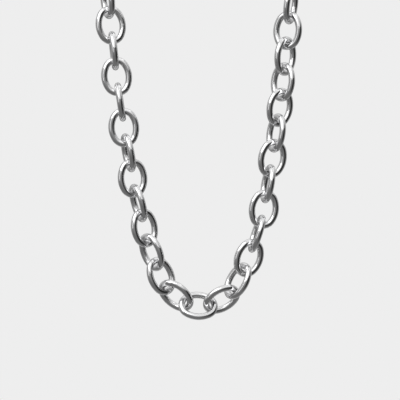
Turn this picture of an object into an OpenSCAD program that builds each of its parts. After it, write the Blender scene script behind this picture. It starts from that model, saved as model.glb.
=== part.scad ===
// Cable chain necklace: oval wire links that hang in a narrow U and run round a neck to a bolt ring.
// Millimetres. +X is right and +Z is up, seen from the front. The front faces -Y.
// The origin is the middle of the clasp's inner face, where the necklace hangs at the nape.

/* [Wire and links] */
// Diameter of the round wire
wire = 2.1; // [1.7:0.1:2.1]
// Length of a link over its ends
link_length = 12.9; // [12.9:0.1:13.3]
// Width of a link over its flanks
link_width = 10.1; // [9.9:0.1:10.5]
// Radius of a link's end bends, at the middle of the wire
bend_radius = 3.5; // [3.3:0.1:3.6]
// Distance from each link to the next along the chain
pitch = 8.4; // [8.2:0.1:8.4]
// How much thinner the wire is in the end bends, where bending has drawn it out
draw = 0.02; // [0.02:0.01:0.06]

/* [Chain] */
// Links between the front stretch and the clasp, on each side
side_links = 22; // [21:1:25]
// Height of the nape above the middle of the lowest link
drop = 208; // [200:1:216]
// Depth from the nape to the front
depth = 104; // [96:1:110]
// How far the front leans back at 100 mm up
lean_back = 5; // [3:0.5:7]
// Slope below level at which the chain leaves the clasp
nape_fall = 12; // [8:1:16]
// Angle by which it turns forward round the neck as it leaves the clasp
nape_turn = 14; // [10:1:18]

/* [Clasp] */
// Radius of the bolt ring, at the middle of its tube
ring_radius = 5; // [4.8:0.1:5]
// Diameter of the ring's tube
ring_tube = 2.4; // [2.2:0.1:2.4]
// Radius of the small eye, at the middle of its wire
eye_radius = 3.1; // [3:0.1:3.1]
// Diameter of the eye's wire
eye_wire = 1.6; // [1.4:0.1:1.6]
// Distance from the ring's middle to the eye's
clasp_span = 10.2; // [10.2:0.1:10.4]

/* [Hidden] */
fine = 48;
steel = [0.72, 0.73, 0.75];

// The front stretch as it hangs, from the lowest link up each side. Each row is a link.
// across and up mark where it hangs from the link above, from the middle of the lowest link.
// roll turns it about its own length, from face-on towards edge-on.
across = 0;
up = 1;
roll = 2;
left_front = [
  [-10.5, 6, -40],
  [-13.5, 13.5, 35],
  [-16.5, 21, -50],
  [-18, 29, 35],
  [-20.5, 37, -70],
  [-21.5, 45, 20],
  [-23.5, 53.5, -75],
  [-24.5, 61.5, 5],
  [-26, 70.5, -90],
  [-27, 78.5, 5],
  [-28, 87, -85],
  [-29, 95.5, 15],
  [-30, 103.5, -70]
];
right_front = [
  [11, 4, -40],
  [15, 12, 50],
  [18, 19.5, -25],
  [20.5, 27.5, 80],
  [22, 35, -15],
  [23.5, 44, 75],
  [25, 51.5, -25],
  [26, 60.5, 60],
  [27.5, 68.5, -35],
  [28, 77, 45],
  [29, 85.5, -50],
  [29.5, 94, 25],
  [31, 102.5, -70]
];
lowest_dive = 4;  // degrees that the lowest link slopes down to the right
lowest_roll = 30;
weave = 0.4;  // how far half-turned links slide forward or back in each other where the chain lies level
slack = 0.12;  // how much looser the lowest links hang, under less weight, than those half way up
half_way = 55;  // height at which links hang with the plain play, drawn tighter above it

// Oval centreline of a link: two end bends and two flatter flanks, tangent where they meet.
half_long = (link_length - wire) / 2;
half_wide = (link_width - wire) / 2;
bend_offset = half_long - bend_radius;
flank_radius = (bend_offset * bend_offset + half_wide * half_wide - bend_radius * bend_radius)
  / (2 * (half_wide - bend_radius));
flank_offset = flank_radius - half_wide;
flank_angle = atan2(bend_offset, flank_offset);
lap = 1;  // degrees that each end bend runs on into the flank
half_pitch = pitch / 2;
play = 2 * half_long - wire - pitch;

function unit(v) = v / norm(v);

// Places of the clasp's ring and eye, centred over both, and the way the chain leaves them on each side.
clasp_shift = (ring_radius + ring_tube / 2 - eye_radius - eye_wire / 2) / 2;
ring_x = clasp_shift - clasp_span / 2;
eye_x = clasp_shift + clasp_span / 2;
clasp_y = ring_tube / 2;
function leaving(side) =
  [side * cos(nape_turn) * cos(nape_fall), -sin(nape_turn) * cos(nape_fall), -sin(nape_fall)];

// End joint of a chain whose last link hangs in a round eye, as clear of it as links are of each other.
function seat(x, radius, thick, side) =
  let (leave = leaving(side),
    outward = unit([leave.x, 0, leave.z]),
    reach = ((thick + wire) / 2 + play) / cos(nape_turn) - (half_long - half_pitch))
  [x, clasp_y, 0] + radius * outward - reach * leave;

// Front stretch, flat as seen from the front. A link is its middle, the way it points and its roll.
// Ways run down the left side, along the bottom and up the right. side is -1 on the left, 1 on the right.
middle = 0;
way = 1;
turn = 2;
lowest_link = [[0, 0], [cos(lowest_dive), -sin(lowest_dive)], lowest_roll];

// Between the centres of two bends that hang in each other at a height.
function hang(height) = 2 * bend_radius - wire - play - slack * (1 - height / half_way);

// Of two linked bends, the one seen more nearly face-on is the one about whose centre the other swings.
function swing(lower_roll, upper_roll) =
  let (upper_open = pow(sin(lower_roll) * cos(upper_roll), 2),
    lower_open = pow(cos(lower_roll) * sin(upper_roll), 2))
  upper_open / (upper_open + lower_open);

// The next link up: it swings about that pivot until it points at its own mark.
function next_link(link, row, side) =
  let (rise = side * link[way],
    mark = [row[across], row[up]],
    share = swing(link[turn], row[roll]),
    reach = hang(row[up]),
    pivot = link[middle] + (bend_offset + share * reach) * rise,
    next_rise = unit(mark - pivot))
  [pivot + ((1 - share) * reach + bend_offset) * next_rise, side * next_rise, row[roll]];
function climb(rows, side) = [for (
  k = 0, link = lowest_link;
  k <= len(rows);
  k = k + 1, link = k <= len(rows) ? next_link(link, rows[k - 1], side) : link
) link];
left_links = climb(left_front, -1);
right_links = climb(right_front, 1);

// The same in space, leaning back, with each link's inside direction, towards the middle of the U.
function front_middle(link) = let (at = link[middle])
  [at.x, lean_back * pow(at.y / 100, 2) - depth - weave * link[way].x * sin(2 * link[turn]), at.y - drop];
function front_way(link) = let (slope = 2 * lean_back * link[middle].y / pow(100, 2))
  unit([link[way].x, link[way].y * slope, link[way].y]);
function front_inside(link) = let (inside = [-link[way].y, 0, link[way].x], along = front_way(link))
  unit(inside - (inside * along) * along);

// A strand from the front stretch round the neck: one smooth curve, its handles as long as its length needs.
function bow(ends, t) = pow(1 - t, 3) * ends[0] + 3 * t * pow(1 - t, 2) * ends[1]
  + 3 * t * t * (1 - t) * ends[2] + pow(t, 3) * ends[3];
function bow_ends(from, way, to, leave, handle) = [from, from + handle * way, to + handle * leave, to];
function running_length(points) = [for (
  i = 0, s = 0;
  i < len(points);
  i = i + 1, s = s + (i < len(points) ? norm(points[i] - points[i - 1]) : 0)
) s];
function bow_points(ends, n) = [for (i = [0:n]) bow(ends, i / n)];
function bow_length(ends) = let (runs = running_length(bow_points(ends, 60))) runs[len(runs) - 1];
function handle_for(from, way, to, leave, length, low = 10, high = 200, tries = 24) =
  let (mid = (low + high) / 2)
  tries == 0 ? mid
  : bow_length(bow_ends(from, way, to, leave, mid)) < length
    ? handle_for(from, way, to, leave, length, mid, high, tries - 1)
    : handle_for(from, way, to, leave, length, low, mid, tries - 1);
function place_at(points, runs, s) =
  let (i = min(len([for (r = runs) if (r <= s) 1]) - 1, len(points) - 2),
    part = (s - runs[i]) / (runs[i + 1] - runs[i]))
  points[i] + part * (points[i + 1] - points[i]);
function strand_joints(from, way, to, leave, n) =
  let (handle = handle_for(from, way, to, leave, n * pitch),
    points = bow_points(bow_ends(from, way, to, leave, handle), 240),
    runs = running_length(points),
    whole = runs[len(runs) - 1])
  [for (k = [0:n]) place_at(points, runs, whole * k / n)];

// The inside direction is carried along the strand, and each link is rolled a quarter turn from the last.
// A little more at each step brings the last link square to the clasp.
function carried(inside, ways, k = 0) = k == len(ways) ? []
  : let (next = unit(inside - (inside * ways[k]) * ways[k])) concat([next], carried(next, ways, k + 1));
function extra_roll(inside, way, from_roll, n) =
  let (back = [0, 1, 0],
    square = atan2(cross(inside, way) * back, inside * back),
    over = square - from_roll - 90 * n)
  (over - 180 * round(over / 180)) / n;

// Draws a link with its middle at a place, its length along a way and its width turned from inside.
module placed(at, along, inside, angle) {
  width = inside * cos(angle) + cross(inside, along) * sin(angle);
  face = cross(width, along);
  multmatrix([
    [width.x, along.x, face.x, at.x],
    [width.y, along.y, face.y, at.y],
    [width.z, along.z, face.z, at.z]
  ]) link();
}

module bent_wire(radius, start, sweep, thick) {
  rotate([0, 0, start]) rotate_extrude(angle = sweep, $fn = fine)
    translate([radius, 0]) circle(d = thick, $fn = fine);
}

module link() {
  for (half = [0, 180]) rotate([0, 0, half]) {
    translate([0, bend_offset, 0])
      bent_wire(bend_radius, flank_angle - lap, 180 - 2 * flank_angle + 2 * lap, wire - draw);
    translate([-flank_offset, 0, 0]) bent_wire(flank_radius, -flank_angle, 2 * flank_angle, wire);
  }
}

module front_stretch(links) {
  for (link = links)
    placed(front_middle(link), front_way(link), front_inside(link), link[turn]);
}

module strand(top, side) {
  outward = side * front_way(top);
  from = front_middle(top) + half_pitch * outward;
  from_roll = side * top[turn];
  to = side < 0 ? seat(ring_x, ring_radius, ring_tube, side) : seat(eye_x, eye_radius, eye_wire, side);
  joints = strand_joints(from, outward, to, leaving(side), side_links);
  ways = [for (k = [0:side_links - 1]) unit(joints[k + 1] - joints[k])];
  insides = carried(front_inside(top), ways);
  extra = extra_roll(insides[side_links - 1], ways[side_links - 1], from_roll, side_links);
  for (k = [0:side_links - 1])
    placed((joints[k] + joints[k + 1]) / 2, ways[k], insides[k], from_roll + (90 + extra) * (k + 1));
}

module left_chain() color(steel) {
  front_stretch(left_links);
  strand(left_links[len(left_links) - 1], -1);
}

module right_chain() color(steel) {
  front_stretch([for (k = [1:len(right_links) - 1]) right_links[k]]);
  strand(right_links[len(right_links) - 1], 1);
}

// Bolt ring with its thumb knob and its eye, one plain piece.
module clasp() color(steel) translate([0, clasp_y, 0]) rotate([90, 0, 0]) {
  knob_angle = 60;
  knob_d = 0.6 * ring_tube;
  collar_d = eye_wire - 0.2;
  translate([ring_x, 0, 0]) {
    rotate_extrude($fn = fine) translate([ring_radius, 0]) circle(d = ring_tube, $fn = fine);
    rotate([0, 0, knob_angle]) translate([ring_radius, 0, 0]) rotate([0, 90, 0])
      cylinder(d = knob_d, h = ring_tube, $fn = fine);
  }
  translate([eye_x, 0, 0]) rotate_extrude($fn = fine)
    translate([eye_radius, 0]) circle(d = eye_wire, $fn = fine);
  translate([ring_x + ring_radius, 0, 0]) rotate([0, 90, 0])
    cylinder(d = collar_d, h = clasp_span - ring_radius - eye_radius, $fn = fine);
}

left_chain();
right_chain();
clasp();
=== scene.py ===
"""Cable chain necklace of polished oval wire links, closed by a bolt ring. Metres, +Z up, front to -Y."""

import math

import bpy
import numpy as np
from mathutils import Matrix, Vector
from mathutils.kdtree import KDTree


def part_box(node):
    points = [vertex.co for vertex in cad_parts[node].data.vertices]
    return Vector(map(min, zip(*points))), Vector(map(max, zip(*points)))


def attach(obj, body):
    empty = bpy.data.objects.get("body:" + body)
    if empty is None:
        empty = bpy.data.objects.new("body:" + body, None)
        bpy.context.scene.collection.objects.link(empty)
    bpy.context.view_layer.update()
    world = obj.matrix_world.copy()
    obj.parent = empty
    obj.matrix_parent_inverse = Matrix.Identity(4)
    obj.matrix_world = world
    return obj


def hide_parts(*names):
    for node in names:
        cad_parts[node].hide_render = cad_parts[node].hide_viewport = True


MM = 0.001

# Oval link, as its maker would size it
WIRE = 2.1 * MM
LINK_LENGTH = 12.9 * MM
LINK_WIDTH = 10.1 * MM
BEND_RADIUS = 3.5 * MM
WIRE_SIDES = 28
BEND_STEPS = 22
FLANK_STEPS = 20
SEAM_HALF_WIDTH = 0.12 * MM
SEAM_DEPTH = 0.008 * MM

# Points closer than this are one point, in a new link and in the links of the frame
LINK_MERGE = WIRE / 1000
FRAME_MERGE = 1e-7
# Links whose heights are the same to this many digits are taken from left to right
HEIGHT_DIGITS = 5

# Hand-made unevenness of the wire, and how near a neighbour has to be to leave its mark: worn spots, and
# painted shade between the links
DENT_HEIGHT = 0.05 * MM
DENT_SIZE = 3.4 * MM
RUB_AND_SHADE_REACH = 1.1 * MM

# Bolt ring at the nape: the ring, its spring bolt and thumb knob, and the eye that the other end hangs in
RING_RADIUS = 5.0 * MM
RING_TUBE = 2.4 * MM
EYE_RADIUS = 3.1 * MM
EYE_WIRE = 1.6 * MM
CLASP_SPAN = 10.2 * MM
COLLAR = 1.4 * MM
COLLAR_EASE = 0.1 * COLLAR
KNOB = 1.44 * MM
KNOB_EASE = 0.32 * KNOB
KNOB_ANGLE = math.radians(60)
BOLT_FROM = math.radians(66)
BOLT_TO = math.radians(128)
BOLT_SHARE = 0.84
GROOVE_ANGLES = (math.radians(12), math.radians(168))
GROOVE_HALF_ANGLE = math.radians(1.6)
GROOVE_SHARE = 0.9
RING_STEPS = 180
EYE_STEPS = 96
TUBE_SIDES = 28
ROD_SIDES = 32
EASE_STEPS = 4
CREASE_ANGLE = math.radians(30)

# Polished steel: its bright colour, its dull colour, which near neighbouring links also serves as painted
# shade, and its smudges and scratches, counted to the metre
BRIGHT_STEEL = (0.90, 0.90, 0.905, 1)
DULL_AND_SHADED_STEEL = (0.62, 0.62, 0.63, 1)
SMUDGES = 260
SMUDGE_DETAIL = 4
SCRATCHES = 2600
SCRATCH_DETAIL = 2
SCRATCH_ROUGHNESS = 0.6
SCRATCH_STRENGTH = 0.05
SCRATCH_DEPTH = 0.02 * MM

# How the finish follows its causes: a low and a high value of the first, and what they make of the second.
# The darkening near neighbouring links is partly worn steel and partly painted shade between the links.
RUB_TO_WEAR_AND_SHADE = (0.55, 1.0, 0.0, 1.0)
SEAM_TO_WEAR = (0.5, 1.0, 0.0, 0.5)
SMUDGE_TO_DULLNESS = (0.35, 0.75, 0.0, 0.22)
WEAR_AND_SHADE_TO_DARKENING = (0.0, 1.0, 0.0, 0.35)
SMUDGE_TO_ROUGHNESS = (0.3, 0.7, 0.06, 0.12)
WEAR_TO_ROUGHNESS = (0.0, 1.0, 0.0, 0.16)

# Camera: the frame that the front of the chain fills
FRAME_WIDTH = 130.4 * MM
LOOK_AT = Vector((0.65, -104.0, -173.5)) * MM
CAMERA_DISTANCE = 1.2
SENSOR_WIDTH = 36.0
NEAREST_SEEN = 0.01
FARTHEST_SEEN = 50

FLOOR_Z = -0.32
FLOOR_RADIUS = 1.05
FLOOR_SIDES = 128
FLOOR_GREY = 0.82
FLOOR_ROUGHNESS = 0.9
FLOOR_GLOW = 0.25
BACKDROP_GREY = 0.855

# Soft boxes round the chain: compass angle from the camera side (+ to the right), height angle and
# roll in degrees, width and height in metres as if a metre away, distance in metres, and how bright.
# They don't hide each other or the room, so where two overlap their light adds up.
SOFT_BOXES = {
    "key": (-42, 44, -10, 1.10, 0.66, 1.0, 1.50),
    "key_foot": (-46, 14, -15, 0.26, 0.56, 1.0, 0.90),
    "canopy": (18, 42, 12, 1.15, 0.84, 4.0, 0.55),
    "ceiling": (180, 86, 0, 1.30, 1.05, 1.2, 0.50),
    "right_fill": (96, 46, 0, 1.00, 0.60, 1.2, 0.25),
    "back_high": (178, 42, 0, 1.50, 0.70, 1.0, 0.10),
    "back_low": (180, -45, 0, 1.30, 0.50, 1.0, 0.28),
}

# The room behind them: how pale it is in front and behind, and how that changes from low to high, with
# the depths and the heights between which it changes, on a sphere of radius 1 round the chain.
ROOM_FRONT = 0.30
ROOM_BACK = 0.52
ROOM_BELOW = 0.5
ROOM_ABOVE = 1.1
ROOM_DEPTHS = (-0.3, 0.9)
ROOM_HEIGHTS = (-0.35, 0.3)
# Each dark patch, to the camera's right and opposite the camera, has a compass angle, a height angle, the
# share of the room's light left in its core, and how many degrees its core and its edge reach.
DARK_PATCHES = [(58, 0, 0.07, 12, 54), (180, 0, 0.35, 6, 40)]

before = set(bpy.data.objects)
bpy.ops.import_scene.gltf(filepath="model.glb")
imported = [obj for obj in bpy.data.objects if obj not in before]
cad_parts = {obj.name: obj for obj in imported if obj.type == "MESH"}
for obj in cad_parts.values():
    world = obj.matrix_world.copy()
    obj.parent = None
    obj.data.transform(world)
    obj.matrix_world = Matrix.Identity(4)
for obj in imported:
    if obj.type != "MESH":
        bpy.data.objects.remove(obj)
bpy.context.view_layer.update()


def deselect_all():
    bpy.ops.object.select_all(action="DESELECT")


def make_active(piece):
    deselect_all()
    piece.select_set(True)
    bpy.context.view_layer.objects.active = piece


def apply_modifiers(piece):
    make_active(piece)
    for modifier in list(piece.modifiers):
        bpy.ops.object.modifier_apply(modifier=modifier.name)


def oval():
    """The link's centreline: its half width, how far from the middle its bends and flanks are centred,
    and the radius and half angle of a flank."""
    half_long = (LINK_LENGTH - WIRE) / 2
    half_wide = (LINK_WIDTH - WIRE) / 2
    bend_centre = half_long - BEND_RADIUS
    flank_radius = (bend_centre**2 + half_wide**2 - BEND_RADIUS**2) / (2 * (half_wide - BEND_RADIUS))
    flank_centre = flank_radius - half_wide
    flank_angle = math.atan2(bend_centre, flank_centre)
    return half_wide, bend_centre, flank_centre, flank_radius, flank_angle


def draw_wire(centre, angle, steps):
    """Runs the wire's open end on round a centre in the link's plane."""
    bpy.ops.mesh.spin(steps=steps, angle=angle, center=centre, axis=(0, 0, -1))


def model_link():
    """One link at the origin: its length along Y, its width along X, its seam in the middle of a flank."""
    half_wide, bend_centre, flank_centre, flank_radius, flank_angle = oval()
    deselect_all()
    bpy.ops.mesh.primitive_circle_add(
        vertices=WIRE_SIDES, radius=WIRE / 2, location=(half_wide, 0, 0), rotation=(math.pi / 2, 0, 0)
    )
    link = bpy.context.object
    link.name = "link"
    bpy.ops.object.transform_apply(location=True, rotation=True, scale=True)
    bpy.ops.object.mode_set(mode="EDIT")
    bpy.ops.mesh.select_all(action="SELECT")
    seam_flank, far_flank = (-flank_centre, 0, 0), (flank_centre, 0, 0)
    top_bend, bottom_bend = (0, bend_centre, 0), (0, -bend_centre, 0)
    seam_angle = SEAM_HALF_WIDTH / flank_radius
    bend_angle = math.pi - 2 * flank_angle
    draw_wire(seam_flank, seam_angle, 1)
    draw_wire(seam_flank, flank_angle - seam_angle, FLANK_STEPS // 2)
    draw_wire(top_bend, bend_angle, BEND_STEPS)
    draw_wire(far_flank, 2 * flank_angle, FLANK_STEPS)
    draw_wire(bottom_bend, bend_angle, BEND_STEPS)
    draw_wire(seam_flank, flank_angle - seam_angle, FLANK_STEPS // 2)
    draw_wire(seam_flank, seam_angle, 1)
    bpy.ops.mesh.select_all(action="SELECT")
    bpy.ops.mesh.remove_doubles(threshold=LINK_MERGE)
    bpy.ops.mesh.normals_make_consistent(inside=False)
    bpy.ops.object.mode_set(mode="OBJECT")
    return link


def mark_seam(link):
    """Sinks the butt seam a little and marks it for the finish."""
    middle = Vector((oval()[0], 0, 0))
    seam = link.data.attributes.new("seam", "FLOAT", "POINT")
    for vertex in link.data.vertices:
        on_seam = abs(vertex.co.y) < SEAM_HALF_WIDTH / 2 and vertex.co.x > 0
        seam.data[vertex.index].value = 1.0 if on_seam else 0.0
        if on_seam:
            vertex.co = middle + (vertex.co - middle) * (1 - 2 * SEAM_DEPTH / WIRE)


def link_places(node):
    """Where each link of a CAD chain lies: a matrix whose X is its width, Y its length and Z its face."""
    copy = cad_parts[node].copy()
    copy.data = copy.data.copy()
    copy.parent = None
    bpy.context.scene.collection.objects.link(copy)
    make_active(copy)
    bpy.ops.object.mode_set(mode="EDIT")
    bpy.ops.mesh.select_all(action="SELECT")
    bpy.ops.mesh.remove_doubles(threshold=FRAME_MERGE)
    bpy.ops.mesh.separate(type="LOOSE")
    bpy.ops.object.mode_set(mode="OBJECT")
    places = []
    for part in list(bpy.context.selected_objects):
        places.append(own_axes(part.data))
        bpy.data.objects.remove(part)
    return sorted(places, key=height_then_side)


def height_then_side(place):
    return round(place.translation.z, HEIGHT_DIGITS), place.translation.x


def own_axes(mesh):
    """Centre and principal axes of a closed mesh, from its faces."""
    count = len(mesh.polygons)
    areas = np.zeros(count)
    middles = np.zeros(count * 3)
    mesh.polygons.foreach_get("area", areas)
    mesh.polygons.foreach_get("center", middles)
    middles = middles.reshape(-1, 3)
    centre = areas @ middles / areas.sum()
    weighed = (middles - centre) * areas[:, None]
    axes = np.linalg.eigh(weighed.T @ (middles - centre))[1]
    length, width = axes[:, 2], axes[:, 1]
    matrix = Matrix.Identity(4)
    for column, axis in enumerate((width, length, np.cross(width, length))):
        for row in range(3):
            matrix[row][column] = axis[row]
    matrix.translation = Vector(centre)
    return matrix


def lay_links(name, link, places):
    """One joined piece with a copy of the link at each place, every other one turned so that seams vary."""
    copies = []
    for number, place in enumerate(places):
        copy = link.copy()
        copy.data = link.data.copy()
        turn = Matrix.Rotation(math.pi * (number % 2), 4, "Z")
        copy.data.transform(place @ turn)
        bpy.context.scene.collection.objects.link(copy)
        copies.append(copy)
    deselect_all()
    for copy in copies:
        copy.select_set(True)
    bpy.context.view_layer.objects.active = copies[0]
    bpy.ops.object.join()
    piece = bpy.context.object
    piece.name = name
    piece.data.name = name
    return piece


def dent(piece):
    """Leaves the low unevenness that bending and tumbling give."""
    clouds = bpy.data.textures.new(piece.name + "_dents", "CLOUDS")
    clouds.noise_scale = DENT_SIZE
    displace = piece.modifiers.new("dents", "DISPLACE")
    displace.texture = clouds
    displace.texture_coords = "LOCAL"
    displace.strength = DENT_HEIGHT
    apply_modifiers(piece)


def mark_rub_and_shade(piece, places):
    """Marks where a link bears on its neighbours, for the finish: worn spots, and painted shade between the
    links.
    """
    mesh = piece.data
    count = len(mesh.vertices)
    co = np.zeros(count * 3)
    mesh.vertices.foreach_get("co", co)
    co = co.reshape(-1, 3)
    per_link = count // len(places)
    rub_and_shade = np.zeros(count)
    for number, place in enumerate(places):
        near = [
            n for n, other in enumerate(places)
            if n != number and (other.translation - place.translation).length < LINK_LENGTH
        ]
        tree = KDTree(per_link * len(near))
        for n in near:
            for k in range(n * per_link, (n + 1) * per_link):
                tree.insert(co[k], k)
        tree.balance()
        for k in range(number * per_link, (number + 1) * per_link):
            # The mark grows towards the neighbouring links: worn steel there, and painted shade between the
            # links
            rub_and_shade[k] = max(0.0, 1.0 - tree.find(co[k])[2] / RUB_AND_SHADE_REACH)
    attribute = mesh.attributes.new("rub_and_shade", "FLOAT", "POINT")
    attribute.data.foreach_set("value", rub_and_shade.astype(np.float32))


def smooth(piece):
    make_active(piece)
    bpy.ops.object.shade_smooth()


def connect(tree, source, target):
    tree.links.new(source, target)


def noise(tree, coordinates, scale, detail, roughness=0.5):
    """A noise pattern on the piece's own coordinates; scale counts its features to the metre."""
    made = tree.nodes.new("ShaderNodeTexNoise")
    made.inputs["Scale"].default_value = scale
    made.inputs["Detail"].default_value = detail
    made.inputs["Roughness"].default_value = roughness
    connect(tree, coordinates, made.inputs["Vector"])
    return made.outputs["Fac"]


def spread(tree, value, low, high, to_low, to_high):
    """Maps a value from one range to another, held at both ends."""
    made = tree.nodes.new("ShaderNodeMapRange")
    made.inputs["From Min"].default_value = low
    made.inputs["From Max"].default_value = high
    made.inputs["To Min"].default_value = to_low
    made.inputs["To Max"].default_value = to_high
    connect(tree, value, made.inputs["Value"])
    return made.outputs["Result"]


def combined(tree, kind, first, second):
    """The sum, product or larger of two values."""
    made = tree.nodes.new("ShaderNodeMath")
    made.operation = kind
    connect(tree, first, made.inputs[0])
    connect(tree, second, made.inputs[1])
    return made.outputs["Value"]


def own_mark(tree, name):
    made = tree.nodes.new("ShaderNodeAttribute")
    made.attribute_name = name
    return made.outputs["Fac"]


def polished_steel():
    """Bright polished wire: faint smudges, fine scratches, duller in the seam, and darker where links bear
    on each other, partly worn and partly painted shade.
    """
    material = bpy.data.materials.new("polished_steel")
    material.use_nodes = True
    tree = material.node_tree
    shader = tree.nodes["Principled BSDF"]
    shader.inputs["Metallic"].default_value = 1.0
    coordinates = tree.nodes.new("ShaderNodeTexCoord").outputs["Object"]
    smudge = noise(tree, coordinates, SMUDGES, SMUDGE_DETAIL)
    scratch = noise(tree, coordinates, SCRATCHES, SCRATCH_DETAIL, SCRATCH_ROUGHNESS)
    # Near neighbouring links the colour is darkened: partly worn steel, partly painted shade between the
    # links
    rubbed_and_shaded = spread(tree, own_mark(tree, "rub_and_shade"), *RUB_TO_WEAR_AND_SHADE)
    in_seam = spread(tree, own_mark(tree, "seam"), *SEAM_TO_WEAR)
    wear_and_shade = combined(tree, "MAXIMUM", rubbed_and_shaded, in_seam)

    dull_smudge = spread(tree, smudge, *SMUDGE_TO_DULLNESS)
    # Painted shade and wear: the dull colour mixed in near neighbouring links and in the seam
    dark_wear_and_shade = spread(tree, wear_and_shade, *WEAR_AND_SHADE_TO_DARKENING)
    tint = tree.nodes.new("ShaderNodeMix")
    tint.data_type = "RGBA"
    tint.inputs["A"].default_value = BRIGHT_STEEL
    tint.inputs["B"].default_value = DULL_AND_SHADED_STEEL
    connect(tree, combined(tree, "ADD", dull_smudge, dark_wear_and_shade), tint.inputs["Factor"])
    connect(tree, tint.outputs["Result"], shader.inputs["Base Color"])

    rough_smudge = spread(tree, smudge, *SMUDGE_TO_ROUGHNESS)
    rough_wear = spread(tree, wear_and_shade, *WEAR_TO_ROUGHNESS)
    connect(tree, combined(tree, "ADD", rough_smudge, rough_wear), shader.inputs["Roughness"])

    bump = tree.nodes.new("ShaderNodeBump")
    bump.inputs["Strength"].default_value = SCRATCH_STRENGTH
    bump.inputs["Distance"].default_value = SCRATCH_DEPTH
    connect(tree, scratch, bump.inputs["Height"])
    connect(tree, bump.outputs["Normal"], shader.inputs["Normal"])
    return material


def finish_piece(piece, material, replaced):
    piece.data.materials.clear()
    piece.data.materials.append(material)
    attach(piece, "root")
    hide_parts(replaced)


def chain_pieces(material):
    link = model_link()
    mark_seam(link)
    for name, cad_node in (("left_links", "left_chain"), ("right_links", "right_chain")):
        places = link_places(cad_node)
        piece = lay_links(name, link, places)
        mark_rub_and_shade(piece, places)
        dent(piece)
        smooth(piece)
        finish_piece(piece, material, cad_node)
    bpy.data.objects.remove(link)


def pull_in(ring, from_angle, to_angle, share):
    """Draws a stretch of the ring's tube in towards the tube's middle, to a share of its thickness."""
    for vertex in ring.data.vertices:
        angle = math.atan2(vertex.co.y, vertex.co.x)
        if from_angle < angle < to_angle:
            middle = Vector((RING_RADIUS * math.cos(angle), RING_RADIUS * math.sin(angle), 0))
            vertex.co = middle + (vertex.co - middle) * share


def model_ring(radius, tube, steps):
    deselect_all()
    bpy.ops.mesh.primitive_torus_add(
        major_radius=radius, minor_radius=tube / 2, major_segments=steps, minor_segments=TUBE_SIDES
    )
    return bpy.context.object


def model_rod(diameter, low, high, ease):
    """A round rod along Z between two heights, its ends eased."""
    deselect_all()
    bpy.ops.mesh.primitive_cylinder_add(
        vertices=ROD_SIDES, radius=diameter / 2, depth=high - low, location=(0, 0, (low + high) / 2)
    )
    rod = bpy.context.object
    bpy.ops.object.transform_apply(location=True, rotation=True, scale=True)
    eased = rod.modifiers.new("eased", "BEVEL")
    eased.width = ease
    eased.segments = EASE_STEPS
    eased.limit_method = "ANGLE"
    apply_modifiers(rod)
    return rod


def fuse(body, others):
    """Joins pieces of one soldered part into one skin."""
    for other in others:
        union = body.modifiers.new("union", "BOOLEAN")
        union.operation = "UNION"
        union.solver = "EXACT"
        union.object = other
        apply_modifiers(body)
        bpy.data.objects.remove(other)


def bolt_ring(material):
    """The clasp: a tube ring with a sliding spring bolt, a domed thumb knob, a collar and an eye."""
    ring = model_ring(RING_RADIUS, RING_TUBE, RING_STEPS)
    pull_in(ring, BOLT_FROM, BOLT_TO, BOLT_SHARE)
    for angle in GROOVE_ANGLES:
        pull_in(ring, angle - GROOVE_HALF_ANGLE, angle + GROOVE_HALF_ANGLE, GROOVE_SHARE)
    lay_along_x = Matrix.Rotation(math.pi / 2, 4, "Y")
    knob = model_rod(KNOB, 0, RING_TUBE, KNOB_EASE)
    knob.data.transform(
        Matrix.Rotation(KNOB_ANGLE, 4, "Z") @ Matrix.Translation((RING_RADIUS, 0, 0)) @ lay_along_x
    )
    eye = model_ring(EYE_RADIUS, EYE_WIRE, EYE_STEPS)
    eye.data.transform(Matrix.Translation((CLASP_SPAN, 0, 0)))
    collar = model_rod(COLLAR, RING_RADIUS, CLASP_SPAN - EYE_RADIUS, COLLAR_EASE)
    collar.data.transform(lay_along_x)
    fuse(ring, [knob, eye, collar])
    ring.name = "bolt_ring"
    ring.data.name = "bolt_ring"
    ring_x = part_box("clasp")[0][0] + RING_RADIUS + RING_TUBE / 2
    to_nape = Matrix.Translation((ring_x, RING_TUBE / 2, 0))
    ring.data.transform(to_nape @ Matrix.Rotation(math.pi / 2, 4, "X"))
    make_active(ring)
    bpy.ops.object.shade_smooth_by_angle(angle=CREASE_ANGLE)
    finish_piece(ring, material, "clasp")


def grey(value):
    return (value, value, value, 1)


def stage_floor():
    """A pale disc below the chain. It glows a little by itself and doesn't show in the polished wire."""
    deselect_all()
    bpy.ops.mesh.primitive_circle_add(
        vertices=FLOOR_SIDES, radius=FLOOR_RADIUS, fill_type="NGON", location=(0, 0, FLOOR_Z)
    )
    floor = bpy.context.object
    floor.name = "floor"
    floor.visible_glossy = False
    material = bpy.data.materials.new("pale_floor")
    material.use_nodes = True
    shader = material.node_tree.nodes["Principled BSDF"]
    shader.inputs["Base Color"].default_value = grey(FLOOR_GREY)
    shader.inputs["Roughness"].default_value = FLOOR_ROUGHNESS
    shader.inputs["Emission Color"].default_value = grey(1)
    shader.inputs["Emission Strength"].default_value = FLOOR_GLOW
    floor.data.materials.append(material)


def direction(azimuth, elevation):
    """From the chain out, azimuth 0 towards the camera and positive to its right, in degrees."""
    around, above = math.radians(azimuth), math.radians(elevation)
    level = math.cos(above)
    return Vector((math.sin(around) * level, -math.cos(around) * level, math.sin(above)))


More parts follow.
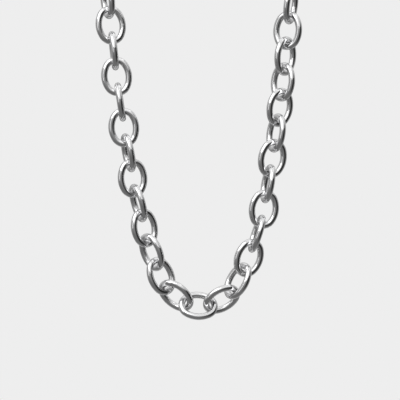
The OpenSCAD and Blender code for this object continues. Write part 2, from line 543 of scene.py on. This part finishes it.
def soft_box(name, azimuth, elevation, roll, width, height, distance, brightness):
    """A soft box that faces the chain. It grows with its distance, so it looks as large and as bright."""
    data = bpy.data.lights.new(name, "AREA")
    data.shape = "RECTANGLE"
    data.size = width * distance
    data.size_y = height * distance
    data.energy = brightness * math.pi * data.size * data.size_y
    out = direction(azimuth, elevation)
    facing = out.to_track_quat("Z", "Y").to_matrix().to_4x4()
    rolled = Matrix.Rotation(math.radians(roll), 4, "Z")
    box = bpy.data.objects.new(name, data)
    box.matrix_world = Matrix.Translation(LOOK_AT + out * distance) @ facing @ rolled
    box.visible_camera = False
    bpy.context.scene.collection.objects.link(box)


def dark_patch(tree, around, azimuth, elevation, left, core, reach):
    """The share of the room's light that a dark patch leaves, by how far round from its middle."""
    toward = tree.nodes.new("ShaderNodeVectorMath")
    toward.operation = "DOT_PRODUCT"
    toward.inputs[1].default_value = direction(azimuth, elevation)
    connect(tree, around, toward.inputs[0])
    inner, outer = math.cos(math.radians(core)), math.cos(math.radians(reach))
    return spread(tree, toward.outputs["Value"], inner, outer, left, 1.0)


def studio_room():
    """A pale backdrop for the camera, and for the polished wire a grey room with two dark patches."""
    world = bpy.data.worlds.new("studio")
    bpy.context.scene.world = world
    world.use_nodes = True
    tree = world.node_tree
    around = tree.nodes.new("ShaderNodeTexCoord").outputs["Generated"]
    split = tree.nodes.new("ShaderNodeSeparateXYZ")
    connect(tree, around, split.inputs["Vector"])
    by_depth = spread(tree, split.outputs["Y"], *ROOM_DEPTHS, ROOM_FRONT, ROOM_BACK)
    by_height = spread(tree, split.outputs["Z"], *ROOM_HEIGHTS, ROOM_BELOW, ROOM_ABOVE)
    pale = combined(tree, "MULTIPLY", by_depth, by_height)
    for patch in DARK_PATCHES:
        pale = combined(tree, "MULTIPLY", pale, dark_patch(tree, around, *patch))
    room = tree.nodes["Background"]
    connect(tree, pale, room.inputs["Color"])

    backdrop = tree.nodes.new("ShaderNodeBackground")
    backdrop.inputs["Color"].default_value = grey(BACKDROP_GREY)
    path = tree.nodes.new("ShaderNodeLightPath")
    mix = tree.nodes.new("ShaderNodeMixShader")
    connect(tree, path.outputs["Is Camera Ray"], mix.inputs["Fac"])
    connect(tree, room.outputs["Background"], mix.inputs[1])
    connect(tree, backdrop.outputs["Background"], mix.inputs[2])
    connect(tree, mix.outputs["Shader"], tree.nodes["World Output"].inputs["Surface"])


def camera():
    data = bpy.data.cameras.new("camera")
    data.sensor_width = SENSOR_WIDTH
    data.lens = SENSOR_WIDTH * CAMERA_DISTANCE / FRAME_WIDTH
    data.clip_start = NEAREST_SEEN
    data.clip_end = FARTHEST_SEEN
    made = bpy.data.objects.new("camera", data)
    made.location = LOOK_AT + Vector((0, -CAMERA_DISTANCE, 0))
    made.rotation_euler = (math.pi / 2, 0, 0)
    bpy.context.scene.collection.objects.link(made)
    bpy.context.scene.camera = made


camera()
steel = polished_steel()
chain_pieces(steel)
bolt_ring(steel)
stage_floor()
for name, setting in SOFT_BOXES.items():
    soft_box(name, *setting)
studio_room()
bpy.context.scene.view_settings.view_transform = "Standard"
